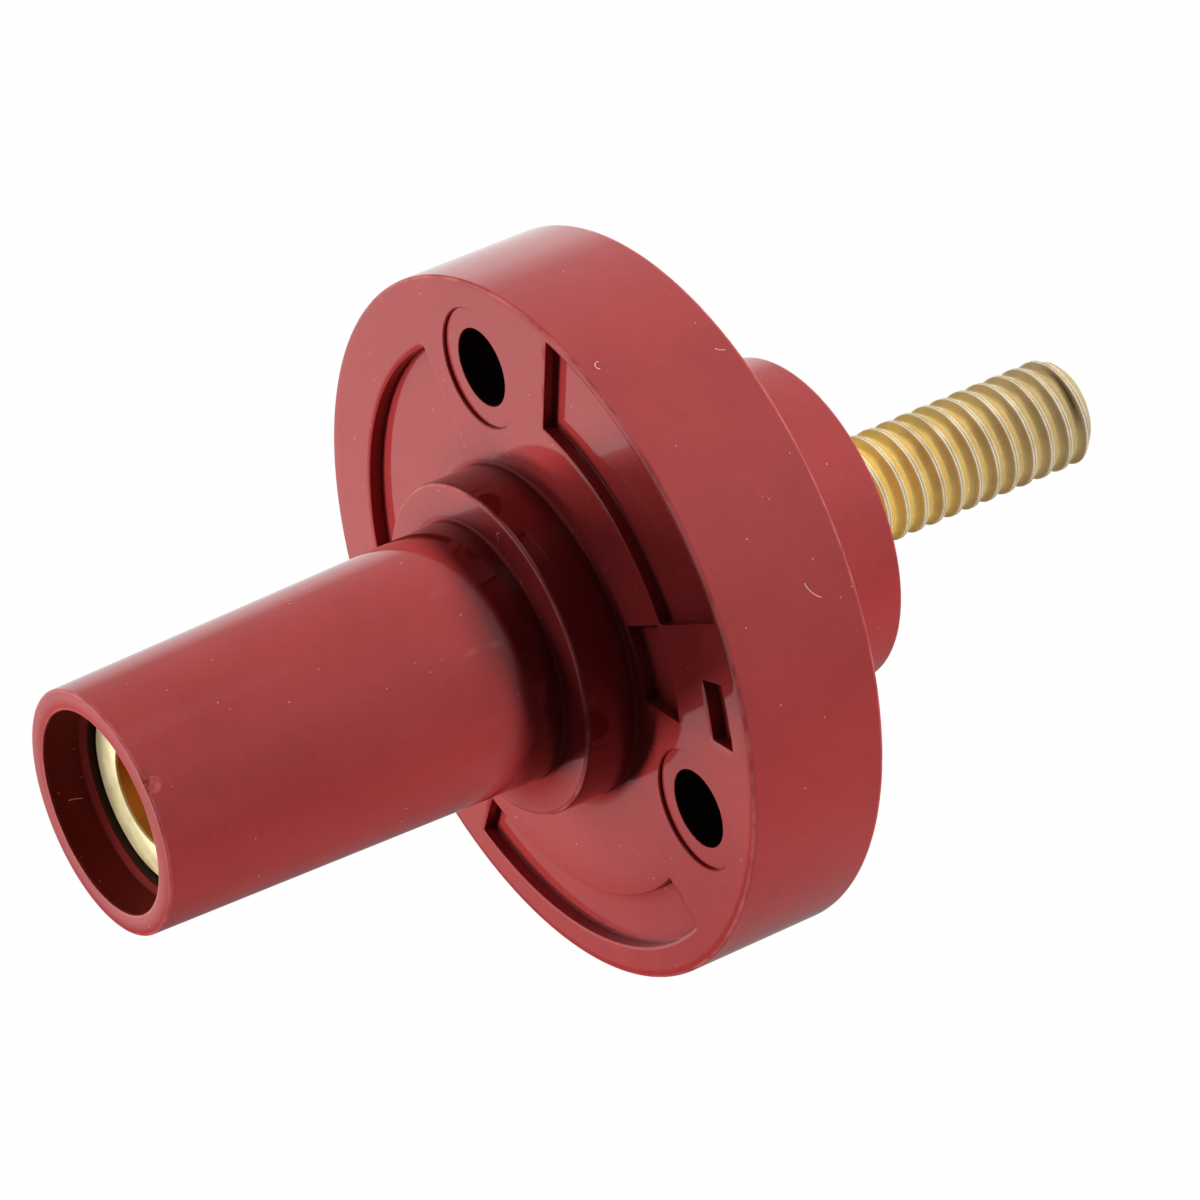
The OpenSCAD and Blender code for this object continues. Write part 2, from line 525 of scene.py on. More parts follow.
@dataclass(frozen=True)
class MouldedThermoplastic:
    """Filled thermoplastic, moulded in a polished tool: a glossy red skin, handled and a little dusty."""

    # The body colour, with the cloudy darker flow that a filled melt leaves
    colour: str = "#aa3b3b"
    cloud: str = "#9a3132"
    cloud_mm: float = 7.0
    cloud_gain: float = 1.2
    # Fine mottling of the skin, a little stronger than life so that it shows
    mottle_mm: float = 0.6
    mottle_gain: float = 0.9
    tone_shift: float = -0.55
    # The skin is as smooth as the tool, and duller where it was handled
    gloss_roughness: float = 0.04
    handled_roughness: float = 0.08
    smear_mm: float = 5.0
    smear_range: Span = (0.35, 0.7)
    # Fine grain of the tool's surface, a little coarser than life so that it shows
    grain_mm: float = 0.3
    grain_height_mm: float = 0.0012
    # Thin pale flash along the edges where the tool's parts met, frayed; its pale colour is partly a painted
    # highlight, and a glint in the body's colour with raised gloss paints the rest of that highlight
    flash_and_highlight: str = "#d9736f"
    flash_edges: tuple[Point, ...] = (
        (25.31, -10.41), (25.36, -0.04), (11.91, -14.41), (8.65, -45.06), (7.24, -45.06),
    )
    flash_width_mm: float = 0.2
    flash_break_mm: float = 1.6
    flash_break_range: Span = (0.35, 0.6)
    flash_least: float = 0.35
    flash_glint: str = "#ff6b6b"
    flash_gloss: float = 1.0
    # The runner's stub on the rim gets the same pale colour and glint, partly a painted highlight
    gate: Spot = (7.85, -44.55, 3.75)
    gate_reach: Span = (0.35, 0.75)
    # Painted shade: corners and bores, where little light comes back, are darkened nearly to black in colour
    # and gloss
    painted_corner_shade: float = 0.1
    corner_mm: float = 3.5
    corner_range: Span = (0.1, 0.75)
    # Painted shadow on the lip, where the brass sits against it: a dark olive ring with a painted reflection
    # of the brass
    painted_lip_shade: str = "#474e40"
    lip_shade_rings: tuple[Point, ...] = ((6.95, -41.6), (6.95, -41.4))
    lip_shade_width_mm: float = 0.3
    # Painted highlight: the lip's lead-in, which catches the light, is painted lighter
    lead: str = "#b04445"
    lead_rings: tuple[Point, ...] = ((7.15, -42.22), (7.07, -42.1), (7.0, -41.98))
    lead_width_mm: float = 0.22
    # The wall of the mouth and of the chamber is dull and painted darker as shade, and the screw holes are
    # painted black inside as shade
    inside: str = "#721b1b"
    inside_r: Span = (7.2, 7.3)
    painted_hole_shade: str = "#240606"
    hole_r_mm: float = 2.8
    sheltered_roughness: float = 0.6
    # The tool's corners at the foot of the nose and of the collar leave a dull line
    foot_rings: tuple[Point, ...] = ((9.42, -14.57), (12.07, -10.57))
    foot_width_mm: float = 0.4
    foot_gain: float = 2.0
    # Mirror of the skin, which is the usual one of a plastic, and of its dull places
    skin_gloss: float = 0.5
    dull_gloss: float = 0.1
    # Specks of pale dust, one in some of the cells of a grid this wide, and lint lying on the skin
    dust: str = "#e0b9b4"
    dust_grid_mm: float = 1.3
    dust_size: float = 0.06
    dust_share: float = 0.8
    lint: tuple[Lint, ...] = (
        Lint((13.90, -9.05, 21.26), 0.34, (13.8, -9.30, 21.3), 0.40),
        Lint((24.60, -1.60, 6.30), 2.00, (24.86, -3.23, 5.22), 0.80),
        Lint((15.40, -0.70, 20.20), 0.70, (15.87, -1.10, 19.83), 0.35),
        Lint((5.34, -14.50, 9.31), 0.36, (5.00, -14.50, 9.50), 0.45),
        Lint((-7.10, -44.30, -5.20), 4.00, (-7.10, -43.40, -1.30), 0.55),
    )

    def body(self, tree: Tree, place: Source) -> Source:
        """Adds nodes for the clouded and mottled body.

        Args:
            tree: Tree that the nodes go into.
            place: Place in metres.

        Returns:
            The body's colour.
        """
        flow = add_node(
            tree, "TexNoise", {"Scale": per_mm(self.cloud_mm), "Detail": 5.0, "Roughness": 0.6},
            {"Vector": place},
        )
        mottle = add_node(
            tree, "TexNoise", {"Scale": per_mm(self.mottle_mm), "Detail": 3.0, "Roughness": 0.7},
            {"Vector": place},
        )
        clouded = add_node(
            tree, "Math", {"operation": "MULTIPLY_ADD", 1: self.cloud_gain, 2: self.tone_shift}, {0: flow},
        )
        tone = add_node(
            tree, "Math", {"operation": "MULTIPLY_ADD", 1: self.mottle_gain}, {0: mottle, 2: clouded},
        )
        return add_node(
            tree, "Mix", {"data_type": "RGBA", COLOUR_A: linear(self.colour), COLOUR_B: linear(self.cloud)},
            {"Factor": tone},
        )

    def frayed(self, tree: Tree, place: Source, pale: Source) -> Source:
        """Adds nodes that break up the flash and its painted highlight.

        Args:
            tree: Tree that the nodes go into.
            place: Place in metres.
            pale: How near the place is to an edge with flash.

        Returns:
            How much of the place takes the flash's pale colour, which is partly a painted highlight.
        """
        patch = add_node(
            tree, "TexNoise", {"Scale": per_mm(self.flash_break_mm), "Detail": 3.0}, {"Vector": place},
        )
        low, high = self.flash_break_range
        left = add_node(
            tree, "MapRange", {"From Min": low, "From Max": high, "To Min": self.flash_least},
            {"Value": patch},
        )
        return add_node(tree, "Math", {"operation": "MULTIPLY"}, {0: pale, 1: left})

    def dirt(self, tree: Tree, place: Source) -> Source:
        """Adds nodes for the specks of dust and the lint.

        Args:
            tree: Tree that the nodes go into.
            place: Place in metres.

        Returns:
            How much of the place they cover.
        """
        cells = add_node(tree, "TexVoronoi", {"Scale": per_mm(self.dust_grid_mm)}, {"Vector": place})
        speck = add_node(
            tree, "MapRange", {"From Max": self.dust_size, "To Min": 1.0, "To Max": 0.0}, {"Value": cells},
        )
        lots = add_node(tree, "SeparateColor", links={"Color": cells.outputs["Color"]})
        drawn = add_node(
            tree, "Math", {"operation": "LESS_THAN", 1: self.dust_share}, {0: lots.outputs["Red"]},
        )
        dusty = add_node(tree, "Math", {"operation": "MULTIPLY"}, {0: speck, 1: drawn})
        return joined(tree, Join.MOST, [dusty, *(fibre.cover(tree, place) for fibre in self.lint)])

    def in_holes(self, tree: Tree, place: Source, holes: Iterable[Vector]) -> Source:
        """Adds nodes that tell whether a place lies on the wall of a screw hole.

        Args:
            tree: Tree that the nodes go into.
            place: Place in metres.
            holes: Middles of the holes in metres.

        Returns:
            A value that is 1 in a hole and 0 outside it.
        """
        flat = add_node(tree, "VectorMath", {"operation": "MULTIPLY", 1: (1, 0, 1)}, {0: place})
        nearest = joined(tree, Join.LEAST, gaps_to(tree, flat, holes))
        return add_node(tree, "Math", {"operation": "LESS_THAN", 1: self.hole_r_mm * MM}, {0: nearest})

    def gloss(self, tree: Tree, turned_place: Source, pale: Source, sheltered: Source) -> Source:
        """Adds nodes for the mirror of the skin, its dull places and the flash's painted highlight.

        Args:
            tree: Tree that the nodes go into.
            turned_place: Radius and place along the axis.
            pale: How near the place is to an edge with flash and its painted highlight.
            sheltered: How far the place lies in the mouth, the chamber or a hole.

        Returns:
            The specular level.
        """
        dull = add_node(
            tree, "Math", {"operation": "MULTIPLY_ADD", 1: self.foot_gain, "use_clamp": True},
            {0: near_rings(tree, turned_place, self.foot_rings, self.foot_width_mm), 2: sheltered},
        )
        skin = add_node(
            tree, "MapRange", {"To Min": self.skin_gloss, "To Max": self.dull_gloss}, {"Value": dull},
        )
        return add_node(
            tree, "Mix", {"data_type": "FLOAT", VALUE_B: self.flash_gloss}, {"Factor": pale, VALUE_A: skin},
        )

    def roughness(self, tree: Tree, place: Source, sheltered: Source) -> Source:
        """Adds nodes for the smeared roughness of the skin.

        Args:
            tree: Tree that the nodes go into.
            place: Place in metres.
            sheltered: How far the place lies in the mouth, the chamber or a hole.

        Returns:
            The roughness.
        """
        smear = add_node(
            tree, "TexNoise", {"Scale": per_mm(self.smear_mm), "Detail": 6.0, "Roughness": 0.65},
            {"Vector": place},
        )
        low, high = self.smear_range
        skin = add_node(
            tree, "MapRange", {
                "From Min": low, "From Max": high,
                "To Min": self.gloss_roughness, "To Max": self.handled_roughness,
            }, {"Value": smear},
        )
        return add_node(
            tree, "Mix", {"data_type": "FLOAT", VALUE_B: self.sheltered_roughness},
            {"Factor": sheltered, VALUE_A: skin},
        )

    def make(self, holes: Iterable[Vector]) -> bpy.types.Material:
        """Makes the material.

        Args:
            holes: Middles of the screw holes in metres.

        Returns:
            The material.
        """
        tree, material = new_material("moulded_red_thermoplastic")
        place = add_node(tree, "TexCoord").outputs["Object"]
        turned_place = axis_place(tree, place)
        pale = joined(tree, Join.MOST, [
            near_rings(tree, turned_place, self.flash_edges, self.flash_width_mm),
            near_spot(tree, place, self.gate, self.gate_reach),
        ])
        radius = add_node(tree, "SeparateXYZ", links={"Vector": turned_place}).outputs["X"]
        low_r, high_r = in_metres(self.inside_r)
        inside = add_node(
            tree, "MapRange", {"From Min": low_r, "From Max": high_r, "To Min": 1.0, "To Max": 0.0},
            {"Value": radius},
        )
        in_hole = self.in_holes(tree, place, holes)
        sheltered = joined(tree, Join.MOST, [inside, in_hole])
        colour = layered(tree, self.body(tree, place), [
            # Pale flash, partly a painted edge highlight
            (self.frayed(tree, place, pale), self.flash_and_highlight),
            # Painted shade on the wall of the mouth and of the chamber
            (inside, self.inside),
            # Painted highlight on the lip's lead-in
            (near_rings(tree, turned_place, self.lead_rings, self.lead_width_mm), self.lead),
            # Painted shadow and brass reflection on the lip
            (near_rings(tree, turned_place, self.lip_shade_rings, self.lip_shade_width_mm), self.painted_lip_shade),
            # Painted shade: the screw holes are black inside
            (in_hole, self.painted_hole_shade),
            (self.dirt(tree, place), self.dust),
        ])
        # Painted shade: ambient occlusion darkens the colour and the gloss in corners and bores
        openness = add_node(tree, "AmbientOcclusion", {"samples": 3, "Distance": self.corner_mm * MM})
        low, high = self.corner_range
        depth = add_node(
            tree, "MapRange", {"From Min": low, "From Max": high, "To Min": self.painted_corner_shade, "To Max": 1.0},
            {"Value": openness.outputs["AO"]},
        )
        shaded = add_node(tree, "VectorMath", {"operation": "SCALE"}, {0: colour, "Scale": depth})
        gloss = self.gloss(tree, turned_place, pale, sheltered)
        sheen = add_node(tree, "Math", {"operation": "MULTIPLY"}, {0: gloss, 1: depth})
        # Painted highlight: the glint on the flash and the gate is tinted with the body's colour
        glint = add_node(
            tree, "Mix", {"data_type": "RGBA", COLOUR_A: WHITE, COLOUR_B: linear(self.flash_glint)},
            {"Factor": pale},
        )
        grain = add_node(tree, "TexNoise", {"Scale": per_mm(self.grain_mm), "Detail": 3.0}, {"Vector": place})
        bump = add_node(
            tree, "Bump", {"Strength": 1.0, "Distance": self.grain_height_mm * MM}, {"Height": grain},
        )
        shader = add_node(tree, "BsdfPrincipled", links={
            "Base Color": shaded,
            "Specular IOR Level": sheen,
            "Specular Tint": glint,
            "Roughness": self.roughness(tree, place, sheltered),
            "Normal": bump,
        })
        add_node(tree, "OutputMaterial", links={"Surface": shader})
        return material


@dataclass(frozen=True)
class TurnedBrass:
    """Free cutting brass, turned, with a rolled thread: pale where freshly faced, greyer towards the tip; its
    crest highlights, the boss's reflection and the bore's shade are painted in.
    """

    # Fresh brass at the front, the bore painted a darker amber as shade, warm brass on the flanks going
    # greyer towards the tip with the red boss's reflection painted in near the shoulder, and a painted
    # highlight on the crests
    faced: str = "#fff2bf"
    bore: str = "#d3963a"
    flank: str = "#f8ce60"
    tip_grey_brass: str = "#cdb482"
    painted_crest_highlight: str = "#fbf3dc"
    faced_y: float = -41.3
    shoulder_y: float = 12.0
    stud_y: Span = (12.5, 33.5)
    crest_r: Span = (3.92, 3.965)
    # Stains of handling, in patches
    stain: str = "#bb9e60"
    stain_mm: float = 2.4
    stain_range: Span = (0.45, 0.75)
    stain_most: float = 0.6
    # Dirt in the last groove before the tip, on one side
    dirt: str = "#5c462c"
    dirt_rings: tuple[Point, ...] = ((3.6, 33.05), (3.75, 33.05))
    dirt_width_mm: float = 0.32
    dirt_place: Spot = (2.8, 33.05, 2.3)
    dirt_reach: Span = (1.2, 3.0)
    # A thin oxide film takes part of the metal's mirror away
    faced_bare: float = 0.3
    stud_bare: float = 0.34
    # A turned face scatters light more widely than a rolled thread
    faced_roughness: float = 0.5
    rolled_roughness: float = 0.28
    # Marks that the tool's feed left, as coarse as they need to be to show
    tool_mark_mm: float = 0.22
    tool_mark_height_mm: float = 0.003

    def colour(self, tree: Tree, place: Source, along: Source, is_faced: Source) -> Source:
        """Adds nodes for the brass of the stud, the bore and the face, with its stains and dirt, and the
        painted crest highlight, boss reflection and bore shade.

        Args:
            tree: Tree that the nodes go into.
            place: Place in metres.
            along: Place along the axis in metres.
            is_faced: Whether the place lies on the front face.

        Returns:
            The colour.
        """
        turned_place = axis_place(tree, place)
        radius = add_node(tree, "SeparateXYZ", links={"Vector": turned_place}).outputs["X"]
        foot_y, tip_y = in_metres(self.stud_y)
        up_stud = add_node(tree, "MapRange", {"From Min": foot_y, "From Max": tip_y}, {"Value": along})
        # Painted reflection: the flanks are warmest near the shoulder, where they mirror the red boss, and
        # greyer towards the tip
        flank = add_node(
            tree, "Mix", {"data_type": "RGBA", COLOUR_A: linear(self.flank), COLOUR_B: linear(self.tip_grey_brass)},
            {"Factor": up_stud},
        )
        low_r, high_r = in_metres(self.crest_r)
        on_crest = add_node(tree, "MapRange", {"From Min": low_r, "From Max": high_r}, {"Value": radius})
        past_foot = add_node(tree, "Math", {"operation": "GREATER_THAN", 1: foot_y}, {0: along})
        crest_highlight_share = add_node(tree, "Math", {"operation": "MULTIPLY"}, {0: on_crest, 1: past_foot})
        in_front = add_node(tree, "Math", {"operation": "LESS_THAN", 1: self.shoulder_y * MM}, {0: along})
        mottle = add_node(
            tree, "TexNoise", {"Scale": per_mm(self.stain_mm), "Detail": 6.0, "Roughness": 0.6},
            {"Vector": place},
        )
        low, high = self.stain_range
        stained = add_node(
            tree, "MapRange", {"From Min": low, "From Max": high, "To Max": self.stain_most},
            {"Value": mottle},
        )
        dirty = add_node(tree, "Math", {"operation": "MULTIPLY"}, {
            0: near_rings(tree, turned_place, self.dirt_rings, self.dirt_width_mm),
            1: near_spot(tree, place, self.dirt_place, self.dirt_reach),
        })
        return layered(tree, flank, [
            # Painted highlight on the crests of the thread
            (crest_highlight_share, self.painted_crest_highlight),
            # Painted shade: the deep bore and the body in front of the shoulder are a darker amber
            (in_front, self.bore),
            (is_faced, self.faced),
            (stained, self.stain),
            (dirty, self.dirt),
        ])

    def make(self) -> bpy.types.Material:
        """Makes the material.

        Returns:
            The material.
        """
        tree, material = new_material("turned_brass")
        place = add_node(tree, "TexCoord").outputs["Object"]
        along = add_node(tree, "SeparateXYZ", links={"Vector": place}).outputs["Y"]
        is_faced = add_node(tree, "Math", {"operation": "LESS_THAN", 1: self.faced_y * MM}, {0: along})
        roughness, bare = (
            add_node(tree, "MapRange", {"To Min": rolled, "To Max": faced}, {"Value": is_faced})
            for rolled, faced in (
                (self.rolled_roughness, self.faced_roughness), (self.stud_bare, self.faced_bare),
            )
        )
        rings = add_node(
            tree, "TexWave",
            {"wave_type": "RINGS", "rings_direction": "Y", "Scale": per_mm(self.tool_mark_mm) * WAVE_SCALE},
            {"Vector": place},
        )
        bump = add_node(
            tree, "Bump", {"Strength": 1.0, "Distance": self.tool_mark_height_mm * MM},
            {"Height": rings.outputs["Fac"]},
        )
        shader = add_node(tree, "BsdfPrincipled", links={
            "Base Color": self.colour(tree, place, along, is_faced),
            "Metallic": bare,
            "Roughness": roughness,
            "Normal": bump,
        })
        add_node(tree, "OutputMaterial", links={"Surface": shader})
        return material


@dataclass(frozen=True)
class DrawnSteel:
    """Steel wire or rod, drawn and left bright or oil black: a little uneven in tone, with a low sheen."""

    name: str
    colour: str
    shade: str
    roughness: float
    patch_mm: float = 0.6

    def make(self) -> bpy.types.Material:
        """Makes the material.

        Returns:
            The material.
        """
        tree, material = new_material(self.name)
        place = add_node(tree, "TexCoord").outputs["Object"]
        patch = add_node(tree, "TexNoise", {"Scale": per_mm(self.patch_mm), "Detail": 4.0}, {"Vector": place})
        colour = add_node(
            tree, "Mix", {"data_type": "RGBA", COLOUR_A: linear(self.colour), COLOUR_B: linear(self.shade)},
            {"Factor": patch},
        )
        shader = add_node(
            tree, "BsdfPrincipled", {"Roughness": self.roughness, "Metallic": 1.0}, {"Base Color": colour},
        )
        add_node(tree, "OutputMaterial", links={"Surface": shader})
        return material


@dataclass(frozen=True)
class SunkPanel:
    """Ring sector let into the flange face: radii in millimetres, angles in degrees from +X towards +Z."""

    inner_r: float
    outer_r: float
    first: float
    last: float

    def holds(self, place: Vector) -> bool:
        """Tells whether a place in metres lies inside the panel's outline."""
        radius = math.hypot(place.x, place.z) / MM
        angle = (math.degrees(math.atan2(place.z, place.x)) - self.first) % 360
        return self.inner_r < radius < self.outer_r and angle < self.last - self.first


@dataclass
class Housing:
    """Moulded housing: boss, flange with panels and screw holes, collar, nose and the contact's chamber."""

    flange_t: float = 10.5
    collar_r: float = 12.0
    collar_h: float = 4.0
    nose_base_r: float = 9.35
    nose_tip_r: float = 8.7
    boss_r: float = 11.9
    mouth_r: float = 7.2
    mouth_depth: float = 2.8
    # The lip that stops the contact, with its ends behind the rim
    lip_r: float = 6.95
    lip_lead: float = 0.4
    lip_end: float = 4.15
    seat_end: float = 4.45
    chamber_r: float = 7.25
    # Groove that the retaining ring springs into
    ring_y: float = 6.6
    ring_groove_r: float = 7.825
    ring_groove_w: float = 1.3
    # Rounding of the edges, and of the corners at the foot of nose and collar
    edge_r: float = 0.3
    fine_edge_r: float = 0.12
    rim_edge_r: float = 0.15
    foot_fillet: float = 0.25
    # Screw holes with their spot faces, the first at the top
    hole_circle_r: float = 19.05
    hole_r: float = 2.75
    spot_r: float = 4.3
    spot_depth: float = 0.25
    hole_ease: float = 0.08
    first_hole: float = 90.0
    hole_count: int = 3
    drill_step: float = 4.0
    # Rough lump where the runner was broken off the rim, part of its thickness inside the rim
    gate_angle: float = 25.5
    gate_size: tuple[float, float, float] = (0.2, 0.55, 0.6)
    gate_rough: float = 0.06
    gate_sunk: float = 1 / 3
    # Panels let into the flange face
    panel_depth: float = 0.9
    panel_edge_r: float = 0.09
    panels: list[SunkPanel] = field(default_factory=lambda: [
        SunkPanel(17.5, 24.75, 13, 66.5),
        SunkPanel(13, 17.1, -10.5, 13),
        SunkPanel(21.1, 23.35, -9.5, 2),
        SunkPanel(12.9, 20.6, 110, 190),
        SunkPanel(19.35, 23.1, 232.5, 305),
    ])

    def __post_init__(self) -> None:
        """Takes the outer sizes from the housing of the frame."""
        low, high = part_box("housing")
        self.flange_r: float = high.x / MM
        self.rim_y: float = low.y / MM
        self.rear_y: float = high.y / MM
        self.face_y: float = -self.flange_t
        self.collar_y: float = self.face_y - self.collar_h

    def outline(self) -> list[Point]:
        """Closed outline of the housing, from the boss's rear edge round the outside and back in the chamber.

        Returns:
            Points of radius and place along the axis.
        """
        edge, fine, rim, fillet = self.edge_r, self.fine_edge_r, self.rim_edge_r, self.foot_fillet
        half_w = self.ring_groove_w / 2
        face_radii = sorted({r for p in self.panels for r in (p.inner_r, p.outer_r)}, reverse=True)
        start = (self.chamber_r + fine, self.rear_y)
        return [
            start,
            *arc((self.boss_r - edge, self.rear_y - edge), edge, 90, 0),
            (self.boss_r, 0),
            *arc((self.flange_r - fine, -fine), fine, 90, 0, FINE_ARC_STEPS),
            *arc((self.flange_r - edge, self.face_y + edge), edge, 0, -90),
            *[(r, self.face_y) for r in face_radii],
            *arc((self.collar_r + fillet, self.face_y - fillet), fillet, 90, 180),
            *arc((self.collar_r - edge, self.collar_y + edge), edge, 0, -90),
            *arc((self.nose_base_r + fillet, self.collar_y - fillet), fillet, 90, 180),
            *arc((self.nose_tip_r - rim, self.rim_y + rim), rim, 0, -90),
            *arc((self.mouth_r + fine, self.rim_y + fine), fine, 270, 180, FINE_ARC_STEPS),
            (self.mouth_r, self.rim_y + self.mouth_depth),
            (self.lip_r, self.rim_y + self.mouth_depth + self.lip_lead),
            (self.lip_r, self.rim_y + self.lip_end),
            (self.chamber_r, self.rim_y + self.seat_end),
            (self.chamber_r, self.ring_y - half_w),
            (self.ring_groove_r, self.ring_y - half_w),
            (self.ring_groove_r, self.ring_y + half_w),
            (self.chamber_r, self.ring_y + half_w),
            (self.chamber_r, self.rear_y - fine),
            start,
        ]

    def sink_panels(self, shell: Piece) -> None:
        """Lets the panels into the flange face and eases their edges.

        Args:
            shell: The turned housing.
        """
        face_y, floor_y = self.face_y * MM, (self.face_y + self.panel_depth) * MM

        def in_panel(face: bmesh.types.BMFace) -> bool:
            """Tells whether a face of the flange's front lies in a panel."""
            middle = face.calc_center_median()
            flat = all(abs(v.co.y - face_y) < MERGE for v in face.verts)
            return flat and any(p.holds(middle) for p in self.panels)

        def on_panel_edge(edge: bmesh.types.BMEdge) -> bool:
            """Tells whether an edge is a sharp one of a panel's wall."""
            middle = (edge.verts[0].co + edge.verts[1].co) / 2
            radius = math.hypot(middle.x, middle.z) / MM
            level = face_y - MERGE < middle.y < floor_y + MERGE
            inside = self.collar_r + self.foot_fillet < radius < self.flange_r - self.edge_r
            return level and inside and len(edge.link_faces) == 2 and edge.calc_face_angle() > WALL_ANGLE

        select_only(shell)
        bpy.ops.object.mode_set(mode="EDIT")
        select_parts(shell, MeshPart.FACE, in_panel)
        bpy.ops.mesh.extrude_region_move(TRANSFORM_OT_translate={"value": (0, self.panel_depth * MM, 0)})
        select_parts(shell, MeshPart.EDGE, on_panel_edge)
        bpy.ops.mesh.bevel(offset=self.panel_edge_r * MM, segments=2, profile=0.5, clamp_overlap=True)
        close_up()

    def hole_places(self) -> list[Vector]:
        """Middles of the screw holes in metres, the first at the top."""
        turns = [math.radians(self.first_hole + i * 360 / self.hole_count) for i in range(self.hole_count)]
        return [Vector((math.cos(turn), 0, math.sin(turn))) * self.hole_circle_r * MM for turn in turns]

    def drill_holes(self, shell: Piece) -> None:
        """Cuts the screw holes with their spot faces.

        Args:
            shell: The housing with its panels.
        """
        past, ease = 1.0, self.hole_ease
        spot_y = self.face_y + self.spot_depth
        outline = [
            (0, past),
            (self.hole_r + ease, past),
            (self.hole_r + ease, 0),
            (self.hole_r, -ease),
            (self.hole_r, spot_y + ease),
            (self.hole_r + ease, spot_y),
            (self.spot_r, spot_y),
            (self.spot_r, self.face_y + ease),
            (self.spot_r + ease, self.face_y),
            (self.spot_r + ease, self.face_y - past),
            (0, self.face_y - past),
        ]
        for place in self.hole_places():
            drill = turned("drill", outline, step=self.drill_step)
            place_mesh(drill, place)
            cut(shell, drill, Cut.AWAY)

    def leave_gate(self, shell: Piece) -> None:
        """Leaves the rough stub of the runner on the rim's outer edge.

        Args:
            shell: The housing with its holes.
        """
        bpy.ops.object.select_all(action="DESELECT")
        bpy.ops.mesh.primitive_ico_sphere_add(subdivisions=3, radius=MM, location=ORIGIN)
        stub = bpy.context.active_object
        bpy.ops.object.mode_set(mode="EDIT")
        bpy.ops.mesh.select_all(action="SELECT")
        bpy.ops.transform.vertex_random(offset=self.gate_rough * MM, uniform=0.5, normal=0.8, seed=4)
        bpy.ops.transform.resize(value=self.gate_size)
        bpy.ops.object.mode_set(mode="OBJECT")
        thick, long, _ = self.gate_size
        angle, radius = math.radians(self.gate_angle), self.nose_tip_r - thick * self.gate_sunk
        place = Vector((math.cos(angle) * radius, self.rim_y + long, math.sin(angle) * radius)) * MM
        place_mesh(stub, place, -angle)
        cut(shell, stub, Cut.TOGETHER)

    def build(self, finish: MouldedThermoplastic) -> Piece:
        """Models the housing and dresses it.

        Args:
            finish: Its material.

        Returns:
            The finished piece.
        """
        shell = turned("moulded_housing", self.outline(), [a for p in self.panels for a in (p.first, p.last)])
        self.sink_panels(shell)
        self.drill_holes(shell)
        self.leave_gate(shell)
        shade(shell)
        dress(shell, finish.make(self.hole_places()))
        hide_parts("housing")
        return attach(shell, BODY)


